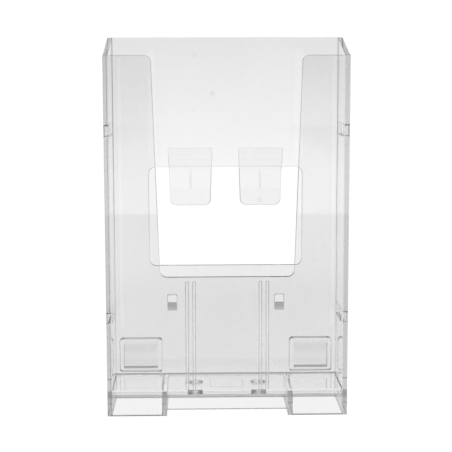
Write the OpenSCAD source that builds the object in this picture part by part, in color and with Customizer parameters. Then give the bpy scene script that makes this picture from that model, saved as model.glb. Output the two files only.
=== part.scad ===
// Clear leaflet pocket for A5 portrait brochures.
// Open at the top, cut away at the front so that the top sheet shows, with a
// window in the back. Two hooks on the back hang it on the cut-out edge of the
// next pocket, and two latch nibs snap it in place, so that pockets tier.
//
// Frame: +X to the right as seen from the front, -Y is the front face, +Z up.
// The origin is at the middle of the underside of the whole object.

/* [Pocket] */
// Overall width over both side walls
pocket_w = 158; // [150:1:170]
// Depth from the front face to the back panel's rear face
pocket_d = 48; // [40:1:60]
// Height of the back panel
back_h = 248; // [236:1:270]
// Height of the front shoulders
front_h = 236; // [224:1:248]
// Thickness of the front panel and the side walls
wall_t = 3; // [2.6:0.1:3.4]
// Thickness of the back panel
back_t = 2.6; // [2.4:0.1:3]

/* [Floor and feet] */
// Height of the floor's top face over the surface it stands on
floor_z = 17; // [16:0.5:19]
// Thickness of the floor
floor_t = 3; // [2.6:0.1:3.4]
// Width of each foot, from the outer face of the side wall
foot_w = 39; // [36:0.5:42]
// Thickness of the web at the inner side of each foot
foot_web_t = 3; // [2.6:0.1:3.4]
// Height of the skirt's lower edge between the feet
skirt_z = 4.2; // [3:0.1:6]
// Radius of the two drain holes in the floor
drain_r = 5; // [4:0.1:6]
// Distance of each drain hole from the middle
drain_x = 21.3; // [20:0.1:26]
// Width of the plain raised plate under the floor
label_w = 22; // [16:1:28]
// Depth of the plain raised plate under the floor
label_d = 20; // [14:1:24]
// Height of the plain raised plate under the floor
label_t = 0.6; // [0.5:0.1:1]

/* [Front cut-out] */
// Width of the cut-out where its sides start, near the top
cut_w_top = 97; // [90:1:104]
// Width of the cut-out where its sides end, near the bottom
cut_w_bottom = 87.4; // [80:0.2:90]
// Height of the cut-out's lower edge
cut_z = 92.7; // [90:0.1:96]
// Radius of the cut-out's lower corners
cut_r = 4.5; // [3:0.1:6]
// Radius of the shoulders' inner corners
shoulder_r = 4.5; // [3:0.1:6]

/* [Back window] */
// Width of the window in the back panel
win_w = 104.4; // [100:0.2:108]
// Height of the window's lower edge
win_z0 = 93.2; // [90:0.1:96]
// Height of the window's upper edge
win_z1 = 161; // [160:0.1:162]
// Radius of the window's corners
win_r = 4.5; // [3:0.1:6]

/* [Hooks and rails] */
// Distance of each hook and each rail pair from the middle
hook_x = 24; // [22:0.1:26]
// Width of a hook at its root on the back panel
hook_w_root = 30.8; // [29:0.1:32]
// Width of a hook near its free end
hook_w_tip = 27.6; // [26:0.1:29]
// Height of a hook's root
hook_z1 = 174; // [172:0.1:176]
// Height of the seat that rests on the next pocket's edge
hook_seat_z = 159.5; // [158:0.1:160]
// Height of a hook's free end
hook_z0 = 134; // [128:0.1:140]
// Gap between the back panel and the hook's tongue
hook_gap = 4.2; // [4.1:0.1:4.6]
// Thickness of the hook's tongue
hook_t = 2.6; // [2.2:0.1:3]
// Height of a guide rail over the front panel's inner face
rail_h = 1; // [0.6:0.1:1]
// Width of a guide rail
rail_w = 1.7; // [1.4:0.1:2]
// Free width of the channel between the two rails of a pair
rail_gap = 2.9; // [2.4:0.1:3.2]

/* [Latches] */
// Distance of each latch window from the middle
latch_x = 36.9; // [35:0.1:38]
// Width of a latch window
latch_w = 6; // [5:0.1:7]
// Height of a latch window's lower edge
latch_z0 = 62.2; // [61:0.1:64]
// Height of a latch window's upper edge
latch_z1 = 72.7; // [71:0.1:74]
// Height of the latch nib inside its window
nib_h = 4.4; // [3.6:0.1:5]
// How far a latch nib stands out of the rear face
nib_out = 2.4; // [1.6:0.1:3]

/* [Stand-offs] */
// Distance of each stand-off from the middle
stand_x = 59; // [58:0.1:60]
// Outer width of a stand-off
stand_w = 29.4; // [28:0.1:30]
// Height of a stand-off's lower face
stand_z0 = 17.8; // [17.4:0.1:20]
// Height of a stand-off's upper face
stand_z1 = 41.4; // [40:0.1:44]
// Wall thickness of a stand-off
stand_t = 3; // [2.4:0.1:3.2]

/* [Side slots] */
// Length of a linking slot, front to back
slot_l = 32; // [28:1:33]
// Height of a linking slot
slot_h = 7.6; // [6:0.1:9]
// Distance of a slot's front end from the front face
slot_y = 12; // [9:0.5:13]
// Height of the lower slot's middle
slot_z_low = 64; // [56:0.5:72]
// Height of the upper slot's middle
slot_z_high = 187.4; // [180:0.1:192]

/* [Hidden] */
hw = pocket_w / 2;
// How far the hooks and stand-offs reach behind the back panel
rear_out = hook_gap + hook_t;
// The middle of the whole depth, hooks included, lies at y = 0
y_front = -(pocket_d + rear_out) / 2;
y_inner = y_front + wall_t;
y_back = y_front + pocket_d - back_t;
y_rear = y_front + pocket_d;
clear_tint = [0.93, 0.94, 0.95, 0.45];

// Unit vector from a to b
function unit(a, b) = (b - a) / norm(b - a);
// Points of the arc that rounds the corner b between a and c with radius r
function corner(a, b, c, r, n = 6) =
    r <= 0 ? [b] :
    let (u = unit(b, a), v = unit(b, c),
         half = acos(u * v) / 2,
         dist = r / tan(half),
         mid = unit([0, 0], u + v),
         centre = b + mid * (r / sin(half)),
         p = b + u * dist - centre, q = b + v * dist - centre,
         a0 = atan2(p[1], p[0]),
         turn = atan2(p[0] * q[1] - p[1] * q[0], p * q))
    [for (i = [0:n]) centre + r * [cos(a0 + turn * i / n), sin(a0 + turn * i / n)]];
// A closed outline whose corners take the radii in rs
function rounded(pts, rs, n = 6) =
    let (m = len(pts))
    [for (i = [0:m - 1]) each corner(pts[(i + m - 1) % m], pts[i], pts[(i + 1) % m], rs[i], n)];

// Stands an outline drawn in X and Z upright, from y0 over a thickness t
module upright(y0, t) {
    translate([0, y0 + t, 0]) rotate([90, 0, 0]) linear_extrude(height = t) children();
}
// Spreads a profile drawn in Y and Z from x0 over a width w
module across(x0, w) {
    translate([x0, 0, 0]) rotate([90, 0, 90]) linear_extrude(height = w) children();
}
module rounded_rect(x0, z0, x1, z1, r) {
    polygon(rounded([[x0, z0], [x1, z0], [x1, z1], [x0, z1]], [r, r, r, r]));
}

module back_panel() {
    color(clear_tint)
    upright(y_back, back_t)
    difference() {
        polygon(rounded([[-hw, 0], [hw, 0], [hw, back_h], [-hw, back_h]], [0, 0, 1, 1]));
        rounded_rect(-win_w / 2, win_z0, win_w / 2, win_z1, win_r);
        for (s = [-1, 1])
            rounded_rect(s * latch_x - latch_w / 2, latch_z0, s * latch_x + latch_w / 2, latch_z1, 0);
    }
}

// Outline of the front panel, with the tapered cut-out, the two feet and the skirt
module front_outline() {
    polygon(rounded(
        [[-hw, 0], [-hw + foot_w, 0], [-hw + foot_w, skirt_z], [hw - foot_w, skirt_z],
         [hw - foot_w, 0], [hw, 0], [hw, front_h],
         [cut_w_top / 2, front_h], [cut_w_bottom / 2, cut_z],
         [-cut_w_bottom / 2, cut_z], [-cut_w_top / 2, front_h], [-hw, front_h]],
        [0.6, 1, 1, 1, 1, 0.6, 0.6, shoulder_r, cut_r, cut_r, shoulder_r, 0.6]));
}
module front_panel() {
    color(clear_tint)
    upright(y_front, wall_t) front_outline();
}

// One side wall: its top edge rises from the front shoulder to the back panel's top
module side_wall(x0) {
    difference() {
        across(x0, wall_t)
        polygon([[y_inner, 0], [y_back, 0], [y_back, back_h], [y_inner, front_h]]);
        for (z = [slot_z_low, slot_z_high])
            translate([x0 - 1, y_front + slot_y, z - slot_h / 2]) cube([wall_t + 2, slot_l, slot_h]);
    }
}
module left_side_wall() { color(clear_tint) side_wall(-hw); }
module right_side_wall() { color(clear_tint) side_wall(hw - wall_t); }

module floor_plate() {
    color(clear_tint)
    difference() {
        translate([-hw + wall_t, y_inner, floor_z - floor_t])
            cube([pocket_w - 2 * wall_t, pocket_d - wall_t - back_t, floor_t]);
        for (s = [-1, 1])
            translate([s * drain_x, (y_inner + y_back) / 2, floor_z - floor_t - 1])
                cylinder(h = floor_t + 2, r = drain_r, $fn = 64);
    }
}
// Plain moulded plate under the floor, with nothing written on it
module floor_label_plate() {
    color(clear_tint)
    translate([-label_w / 2, (y_inner + y_back) / 2 - label_d / 2, floor_z - floor_t - label_t])
        cube([label_w, label_d, label_t]);
}

module foot_web(x0) {
    translate([x0, y_inner, 0]) cube([foot_web_t, pocket_d - wall_t - back_t, floor_z - floor_t]);
}
module left_foot_web() { color(clear_tint) foot_web(-hw + foot_w - foot_web_t); }
module right_foot_web() { color(clear_tint) foot_web(hw - foot_w); }

// Hook profile in Y and Z: a solid root that slopes out of the rear face, and a tongue
// that hangs behind the window with a slight lead-in at its lower end
module hook_profile() {
    y1 = y_rear + hook_gap;
    y2 = y_rear + rear_out;
    polygon([[y_rear, hook_seat_z], [y1, hook_seat_z], [y1, hook_z0 + 11.6],
             [y1 + 0.4, hook_z0], [y2, hook_z0], [y2, hook_seat_z + 0.5], [y_rear, hook_z1]]);
}
module hook_outline() {
    polygon(rounded(
        [[-hook_w_tip / 2, hook_z0], [hook_w_tip / 2, hook_z0],
         [hook_w_root / 2 - 0.7, win_z1], [hook_w_root / 2, hook_z1 + 1],
         [-hook_w_root / 2, hook_z1 + 1], [-hook_w_root / 2 + 0.7, win_z1]],
        [4.2, 4.2, 0, 0, 0, 0]));
}
module hook(s) {
    translate([s * hook_x, 0, 0])
    intersection() {
        across(-hook_w_root, 2 * hook_w_root) hook_profile();
        upright(y_rear - 1, rear_out + 2) hook_outline();
    }
}
module left_hook() { color(clear_tint) hook(-1); }
module right_hook() { color(clear_tint) hook(1); }

// Thin key under the seat that runs in the channel between a pair of rails
module hook_key(s) {
    y1 = y_rear + hook_gap;
    across(s * hook_x - 0.6, 1.2)
    polygon([[y1, hook_z0 + 11.6], [y1, hook_seat_z], [y1 - 1.2, hook_seat_z],
             [y1 - 1.2, hook_z0 + 14]]);
}
module left_hook_key() { color(clear_tint) hook_key(-1); }
module right_hook_key() { color(clear_tint) hook_key(1); }

// Guide rail on the front panel's inner face, from the floor to just under the cut-out
module rail(x) {
    across(x - rail_w / 2, rail_w)
    polygon([[y_inner, floor_z], [y_inner + rail_h, floor_z],
             [y_inner + rail_h, cut_z - 4], [y_inner, cut_z - 3]]);
}
rail_off = (rail_gap + rail_w) / 2;
module left_outer_rail() { color(clear_tint) rail(-hook_x - rail_off); }
module left_inner_rail() { color(clear_tint) rail(-hook_x + rail_off); }
module right_inner_rail() { color(clear_tint) rail(hook_x - rail_off); }
module right_outer_rail() { color(clear_tint) rail(hook_x + rail_off); }

// Wedge in the lower part of a latch window, with a square top that catches under a skirt
module latch_nib(s) {
    across(s * latch_x - latch_w / 2, latch_w)
    polygon([[y_back, latch_z0], [y_rear, latch_z0],
             [y_rear + nib_out, latch_z0 + nib_h - 0.6],
             [y_rear + nib_out, latch_z0 + nib_h], [y_back, latch_z0 + nib_h]]);
}
module left_latch_nib() { color(clear_tint) latch_nib(-1); }
module right_latch_nib() { color(clear_tint) latch_nib(1); }

// Hollow stand-off, open to the rear, that holds the pocket parallel to a wall
module stand_off(s) {
    difference() {
        upright(y_rear, rear_out)
            rounded_rect(s * stand_x - stand_w / 2, stand_z0, s * stand_x + stand_w / 2, stand_z1, 2.2);
        across(s * stand_x - stand_w / 2 + stand_t, stand_w - 2 * stand_t)
            polygon([[y_rear - 1, stand_z0 + stand_t], [y_rear + rear_out + 1, stand_z0 + stand_t],
                     [y_rear + rear_out + 1, stand_z1 - stand_t],
                     [y_rear - 1, stand_z1 - stand_t]]);
    }
}
module left_stand_off() { color(clear_tint) stand_off(-1); }
module right_stand_off() { color(clear_tint) stand_off(1); }

back_panel();
front_panel();
left_side_wall();
right_side_wall();
floor_plate();
floor_label_plate();
left_foot_web();
right_foot_web();
left_hook();
right_hook();
left_hook_key();
right_hook_key();
left_outer_rail();
left_inner_rail();
right_inner_rail();
right_outer_rail();
left_latch_nib();
right_latch_nib();
left_stand_off();
right_stand_off();
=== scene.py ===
# Clear A5 leaflet pocket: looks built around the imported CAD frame.
# Metres, +Z up, the front faces -Y. Every size comes from the CAD nodes' boxes.
import math

import bmesh
import bpy
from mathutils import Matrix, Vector


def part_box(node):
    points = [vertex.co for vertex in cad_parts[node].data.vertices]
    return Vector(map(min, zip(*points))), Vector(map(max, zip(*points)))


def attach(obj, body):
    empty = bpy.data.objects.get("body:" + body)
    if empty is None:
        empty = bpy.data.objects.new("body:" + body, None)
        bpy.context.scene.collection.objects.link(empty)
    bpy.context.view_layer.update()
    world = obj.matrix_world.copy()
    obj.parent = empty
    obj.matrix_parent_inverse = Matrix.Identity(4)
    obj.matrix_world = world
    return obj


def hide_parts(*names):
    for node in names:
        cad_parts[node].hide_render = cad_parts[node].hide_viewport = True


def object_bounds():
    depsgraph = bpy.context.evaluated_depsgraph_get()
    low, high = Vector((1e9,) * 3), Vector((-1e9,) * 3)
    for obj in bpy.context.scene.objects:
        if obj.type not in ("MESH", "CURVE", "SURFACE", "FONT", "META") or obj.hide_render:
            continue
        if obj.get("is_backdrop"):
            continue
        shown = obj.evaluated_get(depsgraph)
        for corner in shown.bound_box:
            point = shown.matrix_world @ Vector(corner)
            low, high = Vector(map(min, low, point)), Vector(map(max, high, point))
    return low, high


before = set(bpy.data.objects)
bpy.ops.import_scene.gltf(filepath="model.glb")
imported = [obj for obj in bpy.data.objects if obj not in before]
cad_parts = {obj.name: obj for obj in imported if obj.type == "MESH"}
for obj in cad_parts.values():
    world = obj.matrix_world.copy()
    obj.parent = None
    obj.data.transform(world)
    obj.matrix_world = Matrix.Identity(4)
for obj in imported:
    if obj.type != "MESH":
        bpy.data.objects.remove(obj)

for _n in ("Cube", "Light", "Camera"):  # the factory scene's own objects
    if _n in bpy.data.objects:
        bpy.data.objects.remove(bpy.data.objects[_n])
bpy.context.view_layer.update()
MM = 0.001


# ---------------------------------------------------------------- sizes from the frame
def nb(node):
    lo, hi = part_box(node)
    return [c / MM for c in lo], [c / MM for c in hi]


BP, FP, FL = nb("back_panel"), nb("front_panel"), nb("floor_plate")
LW, RW = nb("left_side_wall"), nb("right_side_wall")
WEBL, WEBR = nb("left_foot_web"), nb("right_foot_web")
HOOK, KEY = nb("right_hook"), nb("right_hook_key")
NIB, STAND, LABEL = nb("right_latch_nib"), nb("right_stand_off"), nb("floor_label_plate")
HW = BP[1][0]  # half width
YF, YI = FP[0][1], FP[1][1]  # front panel's outer and inner faces
YB, YR = BP[0][1], BP[1][1]  # back panel's inner and rear faces
YH = HOOK[1][1]  # rear of the hooks
YM = (YI + YB) / 2
ZT, ZS = BP[1][2], FP[1][2]  # back panel's top, shoulders' top
T = YI - YF
XI = HW - T
FZ0, FZ1 = FL[0][2], FL[1][2]  # floor
SKIRT = 4.2
FOOT_X = HW - WEBR[1][0] + (WEBR[1][0] - WEBR[0][0])  # foot width
FOOT_X = HW - WEBR[0][0]
CUT_TOP, CUT_BOT, CUT_Z, CUT_R = 97.0, 87.4, 92.7, 4.5
WIN_W, WIN_Z0, WIN_Z1, WIN_R = 104.4, 93.2, 161.0, 4.5
HX = (HOOK[0][0] + HOOK[1][0]) / 2
HZ0, HZ1, SEAT = HOOK[0][2], HOOK[1][2], KEY[1][2]
GAP = 4.2


# ---------------------------------------------------------------- mesh helpers
def corner(a, b, c, r, n=6):
    a, b, c = Vector(a), Vector(b), Vector(c)
    if r <= 0:
        return [tuple(b)]
    u, v = (a - b).normalized(), (c - b).normalized()
    half = u.angle(v) / 2
    d = r / math.tan(half)
    mid = (u + v).normalized()
    o = b + mid * (r / math.sin(half))
    p, q = b + u * d - o, b + v * d - o
    a0 = math.atan2(p.y, p.x)
    turn = math.atan2(p.x * q.y - p.y * q.x, p.dot(q))
    return [
        (o.x + r * math.cos(a0 + turn * i / n), o.y + r * math.sin(a0 + turn * i / n))
        for i in range(n + 1)
    ]


def rounded(pts, rs, n=6):
    out = []
    m = len(pts)
    for i in range(m):
        out += corner(pts[i - 1], pts[i], pts[(i + 1) % m], rs[i], n)
    return out


def rrect(x0, z0, x1, z1, r, n=6):
    return rounded([(x0, z0), (x1, z0), (x1, z1), (x0, z1)], [r] * 4, n)


def prism(name, pts, lo, hi, axis):
    """Extrudes an outline. axis y: points are (x, z); x: (y, z); z: (x, y)."""
    put = {
        "y": lambda p, h: (p[0], h, p[1]),
        "x": lambda p, h: (h, p[0], p[1]),
        "z": lambda p, h: (p[0], p[1], h),
    }[axis]
    bm = bmesh.new()
    a = [bm.verts.new([c * MM for c in put(p, lo)]) for p in pts]
    b = [bm.verts.new([c * MM for c in put(p, hi)]) for p in pts]
    bm.faces.new(a)
    bm.faces.new(b)
    for i in range(len(pts)):
        j = (i + 1) % len(pts)
        bm.faces.new((a[i], a[j], b[j], b[i]))
    bmesh.ops.recalc_face_normals(bm, faces=bm.faces)
    me = bpy.data.meshes.new(name)
    bm.to_mesh(me)
    bm.free()
    ob = bpy.data.objects.new(name, me)
    bpy.context.collection.objects.link(ob)
    return ob


def block(name, lo, hi):
    return prism(
        name, [(lo[0], lo[2]), (hi[0], lo[2]), (hi[0], hi[2]), (lo[0], hi[2])], lo[1], hi[1], "y"
    )


def disc(x, y, r, n=48):
    return [
        (x + r * math.cos(2 * math.pi * i / n), y + r * math.sin(2 * math.pi * i / n))
        for i in range(n)
    ]


def boolean(target, tool, op, keep=False):
    m = target.modifiers.new("b", "BOOLEAN")
    m.operation, m.object, m.solver = op, tool, "EXACT"
    if hasattr(m, "material_mode"):
        m.material_mode = "TRANSFER"
    dg = bpy.context.evaluated_depsgraph_get()
    me = bpy.data.meshes.new_from_object(target.evaluated_get(dg))
    target.modifiers.clear()
    target.data = me
    if not keep:
        bpy.data.objects.remove(tool)
    return target


def cut(target, tool):
    return boolean(target, tool, "DIFFERENCE")


def add(target, tool):
    return boolean(target, tool, "UNION")


# ---------------------------------------------------------------- materials
def new_mat(name):
    m = bpy.data.materials.new(name)
    m.use_nodes = True
    nt = m.node_tree
    for n in list(nt.nodes):
        nt.nodes.remove(n)
    out = nt.nodes.new("ShaderNodeOutputMaterial")
    return m, nt, out


def ranged(nt, src, lo, hi, a, b, smooth=True):
    r = nt.nodes.new("ShaderNodeMapRange")
    if smooth:
        r.interpolation_type = "SMOOTHSTEP"
    r.inputs["From Min"].default_value, r.inputs["From Max"].default_value = lo, hi
    r.inputs["To Min"].default_value, r.inputs["To Max"].default_value = a, b
    nt.links.new(src, r.inputs[0])
    return r.outputs[0]


def maths(nt, op, a, b):
    n = nt.nodes.new("ShaderNodeMath")
    n.operation = op
    for i, v in enumerate((a, b)):
        if v is None:
            continue
        if isinstance(v, (int, float)):
            n.inputs[i].default_value = v
        else:
            nt.links.new(v, n.inputs[i])
    return n.outputs[0]


def clear_plastic(name, tint, edge=None, foot=None, painted_shade_bands=(), painted_light_rects=(), marks=(), low=None, rough=0.012, wave=0.008, ior=1.57, seed=0.0):
    """Polished clear polystyrene: flow clouds, faint waviness, hairline scratches and specks.
    edge is painted shade: the tint of the strips over the side walls, standing in for light running
    through their whole depth, and foot the painted shade of the same strips below the floor, and of
    the foot webs. painted_shade_bands are painted shade: darker bands in z, lines along the corner
    fillets and a band over the hook's tongue, as (z low, z high, factor). low is painted shade, a
    band low on the panel a tone darker. painted_light_rects are patches of painted shade where their
    factors are below 1 and of painted reflection where they are above 1."""
    m, nt, out = new_mat(name)
    N, L = nt.nodes.new, nt.links.new
    p = N("ShaderNodeBsdfPrincipled")
    p.inputs["Transmission Weight"].default_value = 1.0
    p.inputs["IOR"].default_value = ior
    co = N("ShaderNodeTexCoord").outputs["Object"]
    off = N("ShaderNodeVectorMath")
    off.operation = "ADD"
    off.inputs[1].default_value = (seed, seed * 0.7, -seed)
    L(co, off.inputs[0])
    pos = off.outputs[0]

    def noise(scale, detail, vec=pos):
        n = N("ShaderNodeTexNoise")
        n.inputs["Scale"].default_value = scale
        n.inputs["Detail"].default_value = detail
        L(vec, n.inputs["Vector"])
        return n.outputs[0]

    # flow clouds and fine grain in how much light gets through
    cloud = ranged(nt, noise(9.0, 2.0), 0.35, 0.68, 0.965, 1.0)
    grain = ranged(nt, noise(260.0, 2.0), 0.3, 0.75, 0.985, 1.0)
    shade = maths(nt, "MULTIPLY", cloud, grain)
    # specks: rare dark dots a few tenths of a millimetre wide
    vor = N("ShaderNodeTexVoronoi")
    vor.inputs["Scale"].default_value = 46.0
    flat = N("ShaderNodeMapping")
    flat.inputs["Scale"].default_value = (1, 0.02, 1)
    L(pos, flat.inputs[0])
    L(flat.outputs[0], vor.inputs["Vector"])
    vr = N("ShaderNodeSeparateColor")
    L(vor.outputs["Color"], vr.inputs[0])
    pick = ranged(nt, vr.outputs[0], 0.90, 0.91, 0.0, 1.0, False)
    dot = ranged(nt, vor.outputs["Distance"], 0.012, 0.028, 1.0, 0.0)
    speck = maths(nt, "MULTIPLY", pick, dot)
    shade = maths(nt, "MULTIPLY", shade, maths(nt, "SUBTRACT", 1.0, maths(nt, "MULTIPLY", speck, 0.55)))
    value = maths(nt, "MULTIPLY", shade, tint)
    sep = N("ShaderNodeSeparateXYZ")
    L(co, sep.inputs[0])
    ax, z = maths(nt, "ABSOLUTE", sep.outputs[0], None), sep.outputs[2]

    def fade(mask, factor):
        # 1 where the mask is 0, factor where it is 1
        return maths(nt, "SUBTRACT", 1.0, maths(nt, "MULTIPLY", mask, 1.0 - factor))

    # painted shade: darker strips over the side walls, darker still below the floor and over the foot webs, standing
    # in for light running through the walls' whole depth
    if edge is not None:
        on = ranged(nt, ax, (XI - 0.1) * MM, (XI + 0.1) * MM, 0.0, 1.0)
        down = ranged(nt, z, (FZ1 + 0.2) * MM, (FZ1 + 0.6) * MM, 1.0, 0.0)
        value = maths(nt, "MULTIPLY", value, fade(on, edge / tint))
        value = maths(nt, "MULTIPLY", value, fade(maths(nt, "MULTIPLY", on, down), foot / edge))
        w0 = ranged(nt, ax, (WEBR[0][0] - 0.1) * MM, (WEBR[0][0] + 0.1) * MM, 0.0, 1.0)
        w1 = ranged(nt, ax, (WEBR[1][0] - 0.1) * MM, (WEBR[1][0] + 0.1) * MM, 1.0, 0.0)
        lo2 = ranged(nt, z, (FZ1 - 0.5) * MM, (FZ1 - 0.3) * MM, 1.0, 0.0)
        web = maths(nt, "MULTIPLY", maths(nt, "MULTIPLY", w0, w1), lo2)
        value = maths(nt, "MULTIPLY", value, fade(web, foot / tint))
    # painted shade: the panel a tone darker over a band from 11 to 18 mm above the floor up to low's heights
    if low is not None:
        m1 = ranged(nt, z, low[0] * MM, low[1] * MM, 1.0, 0.0)
        m2 = ranged(nt, z, (FZ1 + 11) * MM, (FZ1 + 18) * MM, 0.0, 1.0)
        value = maths(nt, "MULTIPLY", value, fade(maths(nt, "MULTIPLY", m1, m2), low[2]))
    for mx_, mz_, r, factor in marks:
        # round witness marks left by the ejector pins
        dx_ = maths(nt, "SUBTRACT", sep.outputs[0], mx_ * MM)
        dz_ = maths(nt, "SUBTRACT", z, mz_ * MM)
        d2 = maths(nt, "ADD", maths(nt, "MULTIPLY", dx_, dx_), maths(nt, "MULTIPLY", dz_, dz_))
        disc_ = ranged(nt, maths(nt, "SQRT", d2, None), (r - 0.6) * MM, (r + 0.4) * MM, 1.0, 0.0)
        value = maths(nt, "MULTIPLY", value, fade(disc_, factor))
    for x0, x1, za, zb, f_top, f_low in painted_light_rects:
        # painted shade and painted reflection: a patch on both sides of the middle, darker where its factors are below
        # 1 and lighter where they are above 1, with its own tone along the top
        h0 = ranged(nt, ax, (x0 - 0.1) * MM, (x0 + 0.1) * MM, 0.0, 1.0)
        h1 = ranged(nt, ax, (x1 - 0.1) * MM, (x1 + 0.1) * MM, 1.0, 0.0)
        h2 = ranged(nt, z, (za - 0.1) * MM, (za + 0.1) * MM, 0.0, 1.0)
        h3 = ranged(nt, z, (zb - 0.1) * MM, (zb + 0.1) * MM, 1.0, 0.0)
        painted_tone = ranged(nt, z, (zb - 9.0) * MM, (zb - 3.0) * MM, 1.0 - f_low, 1.0 - f_top)
        area = maths(nt, "MULTIPLY", maths(nt, "MULTIPLY", h0, h1), maths(nt, "MULTIPLY", h2, h3))
        value = maths(nt, "MULTIPLY", value, maths(nt, "SUBTRACT", 1.0, maths(nt, "MULTIPLY", area, painted_tone)))
    for z0, z1, factor in painted_shade_bands:
        up = ranged(nt, z, (z0 - 0.1) * MM, (z0 + 0.1) * MM, 0.0, 1.0)
        dn = ranged(nt, z, (z1 - 0.1) * MM, (z1 + 0.1) * MM, 1.0, 0.0)
        value = maths(nt, "MULTIPLY", value, fade(maths(nt, "MULTIPLY", up, dn), factor))
    rgb = N("ShaderNodeCombineColor")
    L(value, rgb.inputs[0])
    L(value, rgb.inputs[1])
    L(value, rgb.inputs[2])
    L(rgb.outputs[0], p.inputs["Base Color"])
    # hairline scratches break the gloss
    sc = N("ShaderNodeMapping")
    sc.inputs["Scale"].default_value = (60, 60, 900)
    sc.inputs["Rotation"].default_value = (0.3, 0.5, 0.2)
    L(pos, sc.inputs[0])
    r1 = ranged(nt, noise(3.0, 3.0, sc.outputs[0]), 0.70, 0.80, 0.0, 0.06, False)
    r2 = ranged(nt, noise(420.0, 1.0), 0.76, 0.82, rough, rough + 0.12, False)
    L(maths(nt, "ADD", r1, r2), p.inputs["Roughness"])
    # slow waviness of a moulded face
    b = N("ShaderNodeBump")
    b.inputs["Strength"].default_value = wave
    b.inputs["Distance"].default_value = 0.002
    L(noise(14.0, 1.5), b.inputs["Height"])
    L(b.outputs[0], p.inputs["Normal"])
    L(p.outputs[0], out.inputs["Surface"])
    return m


def bonded_material():
    """Where two walls of the moulding run into each other there is no surface to see."""
    m, nt, out = new_mat("bonded_joint")
    t = nt.nodes.new("ShaderNodeBsdfTransparent")
    t.inputs[0].default_value = (1, 1, 1, 1)
    nt.links.new(t.outputs[0], out.inputs["Surface"])
    return m


CLEAR = clear_plastic("clear_plastic", 0.965, seed=0.1)
# front panel: painted shade in the side-wall strips, in dark lines at the bottom edge, at 12.2–16.5 mm and along the
# shoulders' top, and in a darker band low down; a painted reflection as a light strip at |x| 67.6–69.8 mm
FRONT = clear_plastic(
    "clear_front", 0.95, edge=0.56, foot=0.30, painted_shade_bands=[(-1, 0.6, 0.5), (12.2, 16.5, 0.63), (235.4, 236.6, 0.74)],
    low=(78, 104, 0.94), marks=[(56.5, 103.5, 2.2, 0.975)], painted_light_rects=[(67.6, 69.8, 60, 234, 1.035, 1.035)], seed=0.4
)
# back panel: painted shade in the side-wall strips and in a dark line at the floor's height, and the painted patches
# listed below
BACK = clear_plastic(
    "clear_back",
    0.949,
    edge=0.78,
    foot=0.78,
    painted_shade_bands=[(FZ1 - 0.3, FZ1 + 0.5, 0.28)],
    marks=[(-20.9, 236.5, 1.9, 0.95), (-8.8, 210.7, 1.9, 0.91), (-20.9, 199.8, 1.9, 0.975)],
    painted_light_rects=[
        # painted shade behind the stand-offs' hollows, darkest along their top, and round the latch windows; a painted
        # reflection as a light strip at |x| 46.9–52.5 mm
        (44.3 + 3, 73.7 - 3, STAND[0][2] + 3, STAND[1][2] - 3, 0.88, 0.95),
        (NIB[0][0] - 0.5, NIB[1][0] + 0.5, NIB[0][2] - 0.5, 73.1, 0.66, 0.66),
        (46.9, 52.5, 166, 240, 1.025, 1.025),
    ],
    seed=0.9,
)
# stand-offs: painted shade as a dark line at 17–18.6 mm
STOFF = clear_plastic("clear_stand_off", 0.96, painted_shade_bands=[(17.0, 18.6, 0.5)], seed=1.3)
# latch nibs: painted shade, the whole nib tinted half as bright, with a dark line at 64.2–65.6 mm; the 62.5–63.6
# band's factor of 1 leaves it as it is
NIBM = clear_plastic("clear_nib", 0.5, painted_shade_bands=[(62.5, 63.6, 1.0), (64.2, 65.6, 0.7)], seed=1.7)
# hooks: painted light and shade, the hook left untinted and lighter than the panels, and its tongue below the seat
# painted a tone darker
HOOKM = clear_plastic("clear_hook", 1.0, painted_shade_bands=[(HZ0 - 1, SEAT, 0.935)], marks=[(23.6, 137.5, 1.9, 0.93)], seed=2.6)
# rails: painted shade as dark lines along both flanks of each rail
RAIL = clear_plastic(
    "clear_rail",
    0.95,
    painted_light_rects=[(HX + o + a, HX + o + b, 10, 95, 0.74, 0.74) for o in (-2.3, 2.3) for a, b in ((-1.3, -0.4), (0.4, 1.3))],
    seed=3.0,
)
RIM = clear_plastic("clear_hole_rim", 0.98, rough=0.45, seed=2.1)
BOND = bonded_material()

def tidy(ob):
    bm = bmesh.new()
    bm.from_mesh(ob.data)
    bmesh.ops.remove_doubles(bm, verts=bm.verts, dist=2e-6)
    bmesh.ops.dissolve_limit(
        bm, angle_limit=math.radians(0.5), verts=bm.verts, edges=bm.edges, delimit={"MATERIAL"}
    )
    bm.to_mesh(ob.data)
    bm.free()


def bevel(ob, width=0.45, segments=2, angle=40):
    m = ob.modifiers.new("bv", "BEVEL")
    m.width, m.segments = width * MM, segments
    m.limit_method, m.angle_limit = "ANGLE", math.radians(angle)
    m.use_clamp_overlap = True
    m.miter_outer = "MITER_SHARP"
    dg = bpy.context.evaluated_depsgraph_get()
    me = bpy.data.meshes.new_from_object(ob.evaluated_get(dg))
    ob.modifiers.clear()
    ob.data = me
    bm = bmesh.new()
    bm.from_mesh(me)
    a = min(f.calc_area() ** 0.5 for f in bm.faces) / MM
    print("bevel", ob.name, "faces", len(bm.faces), "smallest face side", round(a, 4))
    bm.free()


# ---------------------------------------------------------------- the whole moulding
side_profile = [(YF, 0), (YR, 0), (YR, ZT), (YB, ZT), (YI, ZS), (YF, ZS)]
body = prism("master", side_profile, -HW, HW, "x")
body.data.materials.append(CLEAR)
# inside of the pocket, and the hollows under the floor
cut(body, block("c", (-XI, YI, FZ1), (XI, YB, ZT + 20)))
for a, b in ((-XI, -WEBR[1][0]), (-WEBR[0][0], WEBR[0][0]), (WEBR[1][0], XI)):
    cut(body, block("c", (a, YI, -5), (b, YB, FZ0)))
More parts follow.
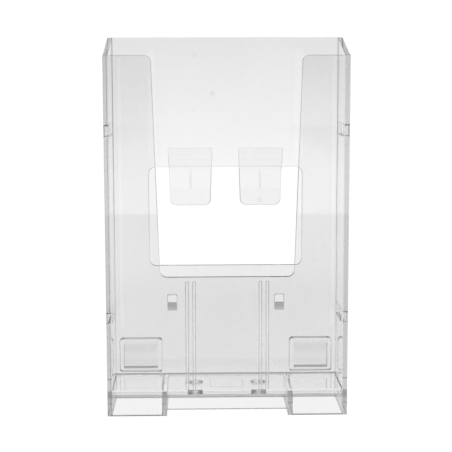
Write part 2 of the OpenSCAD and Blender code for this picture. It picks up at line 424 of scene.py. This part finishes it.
# cut-out of the front panel, with rounded shoulders
k = (CUT_TOP - CUT_BOT) / 2 / (ZS - CUT_Z)
top = ZS + 12
wt = CUT_TOP / 2 + k * (top - ZS)
cut_pts = rounded(
    [(-CUT_BOT / 2, CUT_Z), (CUT_BOT / 2, CUT_Z), (wt, top), (-wt, top)], [CUT_R, CUT_R, 0, 0], 8
)
cut(body, prism("c", cut_pts, YF - 5, YI + 0.5 * (YB - YI), "y"))
SR = 4.5
for s in (-1, 1):
    e = CUT_TOP / 2
    tri = [(s * (e - 3), ZS + 1), (s * (e - 3), ZS - SR - 1)]
    arc = corner((s * (e - k * 20), ZS - 20), (s * e, ZS), (s * (e + 20), ZS), SR, 8)
    pts = [(s * (e - 3), ZS + 1), (arc[0][0] - s * 3, arc[0][1])] + arc + [(arc[-1][0], ZS + 1)]
    cut(body, prism("c", pts, YF - 5, YI + 5, "y"))
# skirt between the feet
fx = WEBR[0][0]
cut(body, prism("c", [(-fx, -4), (fx, -4), (fx, SKIRT), (-fx, SKIRT)], YF - 5, YI, "y"))
# back window, latch windows, drain holes, side slots
cut(body, prism("c", rrect(-WIN_W / 2, WIN_Z0, WIN_W / 2, WIN_Z1, WIN_R, 8), YB - 5, YR + 5, "y"))
LX0, LX1, LZ0, LZ1 = NIB[0][0], NIB[1][0], NIB[0][2], 72.7
for s in (-1, 1):
    a, b = sorted((s * LX0, s * LX1))
    cut(body, prism("c", rrect(a, LZ0, b, LZ1, 1.2, 4), YB - 5, YR + 5, "y"))
for s in (-1, 1):
    cut(body, prism("c", disc(s * 21.3, YM, 5.0), FZ0 - 4, FZ1 + 4, "z"))
for z in (64.0, 187.4):
    cut(
        body,
        prism("c", rrect(YF + 12, z - 3.8, YF + 44, z + 3.8, 0.8, 3), -HW - 5, HW + 5, "x"),
    )
tidy(body)
bevel(body, 0.38)
xs = sorted({round(v.co.x / MM, 3) for v in body.data.vertices if v.co.x > (HW - 0.7) * MM})
print("shell fillet starts at x", xs[0], "of", HW)

# hooks: a root that slopes out of the rear face, a tongue with a lead-in
y1, y2 = YR + GAP, YH
prof = [(YR - 1.5, SEAT), (y1, SEAT), (y1, HZ0 + 11.6), (y1 + 0.4, HZ0), (y2, HZ0)]
prof += corner((y2, SEAT - 9), (y2, SEAT + 0.5), (YR, HZ1), 3.5, 3)
prof += [(YR, HZ1), (YR - 1.5, HZ1)]
WR, WT = (HOOK[1][0] - HOOK[0][0]) / 2, 13.8
for s in (-1, 1):
    h = prism("h", prof, s * HX - 20, s * HX + 20, "x")
    out = rounded(
        [
            (s * HX - WT, HZ0),
            (s * HX + WT, HZ0),
            (s * HX + WR - 0.7, WIN_Z1),
            (s * HX + WR, HZ1 + 1),
            (s * HX - WR, HZ1 + 1),
            (s * HX - WR + 0.7, WIN_Z1),
        ],
        [4.2, 4.2, 0, 0, 0, 0],
        8,
    )
    boolean(h, prism("o", out, YR - 3, YH + 2, "y"), "INTERSECT")
    tidy(h)
    bevel(h, 0.4)
    # the root is set into the panel, but not below the window's top edge
    cut(h, block("c", (s * HX - 20, YR - 3, SEAT - 1), (s * HX + 20, YR, WIN_Z1)))
    add(body, h)
    key = prism(
        "k",
        [(y1 + 0.8, HZ0 + 11), (y1 + 0.8, SEAT + 0.5), (y1 - 1.2, SEAT + 0.5), (y1 - 1.2, HZ0 + 21), (y1 - 0.1, HZ0 + 11.6)],
        s * HX - 0.6,
        s * HX + 0.6,
        "x",
    )
    bevel(key, 0.1)
    add(body, key)
    # guide rails, rounded along the top and flared at the foot
    for o in (-1, 1):
        x = s * HX + o * 2.3
        half = [(0.85 + 0.4, YI - 0.3), (0.85 + 0.4, YI)]
        half += [(1.25 - 0.4 * math.sin(t), YI + 0.4 - 0.4 * math.cos(t)) for t in (0.4, 0.8, 1.2)]
        half += [(0.85, YI + 0.42), (0.85, YI + 0.6)]
        half += [(0.45 + 0.4 * math.cos(t), YI + 0.6 + 0.4 * math.sin(t)) for t in (0.4, 0.8, 1.2)]
        half += [(0.42, YI + 1)]
        sec = [(x + u, v) for u, v in half] + [(x - u, v) for u, v in reversed(half)]
        add(body, prism("r", sec, FZ1 - 0.3, CUT_Z - 3.2, "z"))
    # latch nib, with a square top and a sloping underside
    a, b = sorted((s * LX0, s * LX1))
    nt_ = NIB[1][2]
    nib = prism(
        "n",
        [(YB + 0.5, LZ0 - 0.8), (YR, LZ0 - 0.8), (YR, LZ0), (NIB[1][1], nt_ - 0.6), (NIB[1][1], nt_), (YB + 0.5, nt_)],
        a,
        b,
        "x",
    )
    add(body, nib)
    # stand-off, open to the rear
    sx0, sx1 = sorted((s * STAND[0][0], s * STAND[1][0]))
    so = prism("s", rrect(sx0, STAND[0][2], sx1, STAND[1][2], 2.2, 6), YR - 1.2, YH, "y")
    bevel(so, 0.5)
    cut(so, block("c", (sx0 + 3, YR, STAND[0][2] + 3), (sx1 - 3, YH + 1, STAND[1][2] - 3)))
    add(body, so)
lab = block("l", (LABEL[0][0], LABEL[0][1], LABEL[0][2]), (LABEL[1][0], LABEL[1][1], FZ0 + 0.8))
bevel(lab, 0.2)
add(body, lab)
tidy(body)


def report_mesh(ob, tag):
    bm = bmesh.new()
    bm.from_mesh(ob.data)
    bad = sum(1 for e in bm.edges if not e.is_manifold)
    vol = bm.calc_volume() / MM**3
    print(tag, "faces", len(bm.faces), "non-manifold edges", bad, "volume mm3", round(vol, 1))
    bm.free()


report_mesh(body, "moulding")

# ---------------------------------------------------------------- split into its named pieces
# The cuts lie just inside the neighbours, clear of every fillet, and the cut faces are bonded.
B, C, E = 6, 0.9, 0.02


def take(body, name, lo, hi):
    piece = bpy.data.objects.new(name + "_clear", body.data.copy())
    bpy.context.collection.objects.link(piece)
    for ob, op in ((piece, "INTERSECT"), (body, "DIFFERENCE")):
        tool = block("t", lo, hi)
        tool.data.materials.append(BOND)
        boolean(ob, tool, op)
    return piece


made = {}
for side, s in (("left", -1), ("right", 1)):
    for word, o in (("outer", 1), ("inner", -1)):
        x = s * (HX + o * 2.3)
        made[f"{side}_{word}_rail"] = take(
            body, f"{side}_{word}_rail", (x - 1.4, YI + E, FZ1 + C), (x + 1.4, YI + 3, CUT_Z + 4)
        )
    a, b = sorted((s * (HX - 22), s * (HX + 22)))
    made[f"{side}_hook"] = take(body, f"{side}_hook", (a, YR + E, HZ0 - B), (b, YH + B, HZ1 + B))
    # the key is the thin rib in front of the tongue
    a, b = sorted((s * HX - 1.1, s * HX + 1.1))
    made[f"{side}_hook_key"] = take(
        made[f"{side}_hook"],
        f"{side}_hook_key",
        (a, YR + E + 1, HZ0 + 9),
        (b, YR + GAP - E, SEAT + 0.0 - 0.55),
    )
    a, b = sorted((s * (LX0 - 2), s * (LX1 + 2)))
    made[f"{side}_latch_nib"] = take(
        body, f"{side}_latch_nib", (a, YR + E, LZ0 - 4), (b, YH + B, LZ1 + 2)
    )
    a, b = sorted((s * 30, s * (HW + B)))
    made[f"{side}_stand_off"] = take(
        body, f"{side}_stand_off", (a, YR + E, -B), (b, YH + B, STAND[1][2] + B)
    )
    a, b = sorted((s * (WEBR[0][0] - 1.5), s * (WEBR[1][0] + 1.5)))
    made[f"{side}_foot_web"] = take(
        body, f"{side}_foot_web", (a, YI + C, -B), (b, YB - C, FZ0 - C)
    )
made["floor_label_plate"] = take(
    body,
    "floor_label_plate",
    (LABEL[0][0] - 1, LABEL[0][1] - 1, FZ0 - 3),
    (LABEL[1][0] + 1, LABEL[1][1] + 1, FZ0 - E),
)
made["floor_plate"] = take(
    body, "floor_plate", (-XI + C, YI + C, -B), (XI - C, YB - C, ZT + B)
)
made["left_side_wall"] = take(
    body, "left_side_wall", (-HW - B, YI + C, -B), (-XI + C, YB - C, ZT + B)
)
made["right_side_wall"] = take(
    body, "right_side_wall", (XI - C, YI + C, -B), (HW + B, YB - C, ZT + B)
)
# what is left is the two panels, now apart from each other
for name, front_side in (("front_panel", True), ("back_panel", False)):
    piece = bpy.data.objects.new(name + "_clear", body.data.copy())
    bpy.context.collection.objects.link(piece)
    bm = bmesh.new()
    bm.from_mesh(piece.data)
    gone = [v for v in bm.verts if (v.co.y < YM * MM) != front_side]
    bmesh.ops.delete(bm, geom=gone, context="VERTS")
    bm.to_mesh(piece.data)
    bm.free()
    made[name] = piece
bpy.data.objects.remove(body)

total = 0
for node, piece in made.items():
    for f in piece.data.polygons:
        f.use_smooth = False
    bm = bmesh.new()
    bm.from_mesh(piece.data)
    vol = bm.calc_volume() / MM**3
    bad = sum(1 for e in bm.edges if not e.is_manifold)
    bm.free()
    total += vol
    me = piece.data
    own = {"front_panel": FRONT, "back_panel": BACK}.get(node)
    own = STOFF if "stand_off" in node else NIBM if "nib" in node else own
    own = RAIL if "rail" in node else HOOKM if "hook" in node else own
    if node == "floor_plate":
        me.materials.append(RIM)
        for f in me.polygons:
            if math.hypot(abs(f.center.x) - 21.3 * MM, f.center.y - YM * MM) < 5.6 * MM:
                f.material_index = len(me.materials) - 1
    if own:
        for i, m in enumerate(me.materials):
            if m != BOND:
                me.materials[i] = own
    bond = [i for i, m in enumerate(me.materials) if m == BOND]
    lo, hi = nb(node)
    v = [[round(f(p.co[i] for p in me.vertices) / MM, 2) for i in range(3)] for f in (min, max)]
    off = max(abs(v[0][i] - lo[i]) for i in range(3)), max(abs(v[1][i] - hi[i]) for i in range(3))
    print(
        f"{node:20s} faces {len(me.polygons):4d} bad {bad} vol {vol:9.1f} off {off[0]:.2f} {off[1]:.2f} bonded",
        sum(1 for f in me.polygons if f.material_index in bond),
    )
    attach(piece, "root")
    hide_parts(node)
print("sum of pieces", round(total, 1))

# ---------------------------------------------------------------- stage, light and camera
def emit(name, color, strength):
    m, nt, out = new_mat(name)
    e = nt.nodes.new("ShaderNodeEmission")
    e.inputs[0].default_value = (*color, 1)
    e.inputs[1].default_value = strength
    nt.links.new(e.outputs[0], out.inputs["Surface"])
    return m


def card(name, lo, hi, mat):
    ob = block(name, lo, hi)
    ob.data.materials.append(mat)
    ob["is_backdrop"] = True
    return ob


scene = bpy.context.scene
world = bpy.data.worlds.new("studio")
scene.world = world
world.use_nodes = True
wt = world.node_tree
bg = wt.nodes["Background"]
tc = wt.nodes.new("ShaderNodeTexCoord")
sx = wt.nodes.new("ShaderNodeSeparateXYZ")
wt.links.new(tc.outputs["Generated"], sx.inputs[0])
ramp = wt.nodes.new("ShaderNodeValToRGB")
wt.links.new(sx.outputs["Z"], ramp.inputs[0])
cr = ramp.color_ramp
cr.elements[0].position, cr.elements[0].color = 0.0, (0.52, 0.52, 0.52, 1)
cr.elements[1].position, cr.elements[1].color = 0.5, (0.05, 0.05, 0.05, 1)
el = cr.elements.new(0.18)
el.color = (0.22, 0.22, 0.22, 1)
wx = maths(wt, "ABSOLUTE", sx.outputs["X"], None)
wside = ranged(wt, wx, 0.25, 0.6, 1.0, 0.78)
wz = wt.nodes.new("ShaderNodeVectorMath")
wz.operation = "SCALE"
wt.links.new(ramp.outputs[0], wz.inputs[0])
wt.links.new(wside, wz.inputs["Scale"])
lp = wt.nodes.new("ShaderNodeLightPath")
mx = wt.nodes.new("ShaderNodeMix")
mx.data_type = "RGBA"
wt.links.new(lp.outputs["Is Camera Ray"], mx.inputs[0])
wt.links.new(wz.outputs[0], mx.inputs[6])
mx.inputs[7].default_value = (1.02, 1.02, 1.02, 1)
wt.links.new(mx.outputs[2], bg.inputs[0])
bg.inputs[1].default_value = 1.0

scene.view_settings.view_transform = "Standard"
scene.view_settings.look = "None"
scene.render.film_transparent = False
scene.cycles.max_bounces = 32
scene.cycles.transmission_bounces = 32
scene.cycles.transparent_max_bounces = 64
scene.cycles.glossy_bounces = 12
scene.cycles.caustics_refractive = True
scene.cycles.caustics_reflective = True

# the ground that the camera sees: white floor and backdrop
floor = card("stage_floor", (-4000, -4000, -3), (4000, 4000, -0.05), emit("floor", (1, 1, 1), 1.02))
back = card("stage_back", (-900, 1500, -3), (900, 1503, 1500), emit("backdrop", (1, 1, 1), 1.02))
for o in (floor, back):
    o.visible_glossy = o.visible_transmission = o.visible_diffuse = o.visible_shadow = False


def lit(name):
    """The same ground as it is seen through the plastic: even behind, dimmer to the sides,
    a tone darker nearby and towards the top of the backdrop."""
    m, nt, out = new_mat(name)
    e = nt.nodes.new("ShaderNodeEmission")
    co = nt.nodes.new("ShaderNodeTexCoord").outputs["Object"]
    sep = nt.nodes.new("ShaderNodeSeparateXYZ")
    nt.links.new(co, sep.inputs[0])
    ax = maths(nt, "ABSOLUTE", maths(nt, "SUBTRACT", sep.outputs[0], 0.03), None)
    side = ranged(nt, ax, 0.25, 0.36, 1.0, 0.48)
    ln = nt.nodes.new("ShaderNodeVectorMath")
    ln.operation = "LENGTH"
    nt.links.new(co, ln.inputs[0])
    near = ranged(nt, ln.outputs["Value"], 1.085, 1.10, 0.915, 1.0)
    high = ranged(nt, sep.outputs[2], 0.0, 0.34, 1.0, 0.885)
    lift = ranged(nt, sep.outputs[2], 0.36, 0.44, 1.0, 1.22)
    under = ranged(nt, sep.outputs[1], 0.02, 0.032, 1.055, 1.0)
    v = maths(nt, "MULTIPLY", maths(nt, "MULTIPLY", side, near), maths(nt, "MULTIPLY", high, lift))
    v = maths(nt, "MULTIPLY", v, under)
    # in front it fades, so that its end doesn't show as an edge in the panels' inner reflections
    v = maths(nt, "MULTIPLY", v, ranged(nt, sep.outputs[1], -3.9, -1.0, 0.45, 1.0))
    nt.links.new(v, e.inputs[1])
    nt.links.new(e.outputs[0], out.inputs["Surface"])
    return m


LIT = lit("ground_behind")
floor2 = card("stage_floor_seen_through", (-4000, -4000, -3), (4000, 4000, -0.06), LIT)
back2 = card("stage_back_seen_through", (-620, 1490, -3), (620, 1493, 1100), LIT)
for o in (floor2, back2):
    o.visible_camera = o.visible_glossy = o.visible_diffuse = o.visible_shadow = False
# soft card in front, seen only as a reflection in the panels
fm, fnt, fout = new_mat("front_card")
fe = fnt.nodes.new("ShaderNodeEmission")
fsep = fnt.nodes.new("ShaderNodeSeparateXYZ")
fnt.links.new(fnt.nodes.new("ShaderNodeTexCoord").outputs["Object"], fsep.inputs[0])
fnt.links.new(ranged(fnt, fsep.outputs[2], 0.12, 0.36, 0.8, 0.0), fe.inputs[1])
fnt.links.new(fe.outputs[0], fout.inputs["Surface"])
front = card("stage_front", (-500, YF - 860, 32), (500, YF - 858, 370), fm)
front.visible_camera = front.visible_diffuse = front.visible_transmission = False
front.visible_shadow = False

cam = bpy.data.cameras.new("cam")
cam_ob = bpy.data.objects.new("cam", cam)
bpy.context.collection.objects.link(cam_ob)
scene.camera = cam_ob
cam.sensor_fit = "HORIZONTAL"
cam.sensor_width = 36.0
FPX = 1207.033
cam.lens = FPX / 452 * 36.0
cam.dof.use_dof = False
pitch, yaw, roll = math.radians(7.449), math.radians(1.276), math.radians(-0.126)
pos = Vector((-17.991, YF - 774.449, 227.576)) * MM
fwd = Vector((math.sin(yaw) * math.cos(pitch), math.cos(yaw) * math.cos(pitch), -math.sin(pitch)))
right = Vector((math.cos(yaw), -math.sin(yaw), 0))
up = right.cross(fwd)
r2 = math.cos(roll) * right + math.sin(roll) * up
u2 = -math.sin(roll) * right + math.cos(roll) * up
from mathutils import Matrix

rot = Matrix((r2, u2, -fwd)).transposed()
cam_ob.matrix_world = Matrix.Translation(pos) @ rot.to_4x4()
cam.clip_start, cam.clip_end = 0.01, 50

lo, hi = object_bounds()
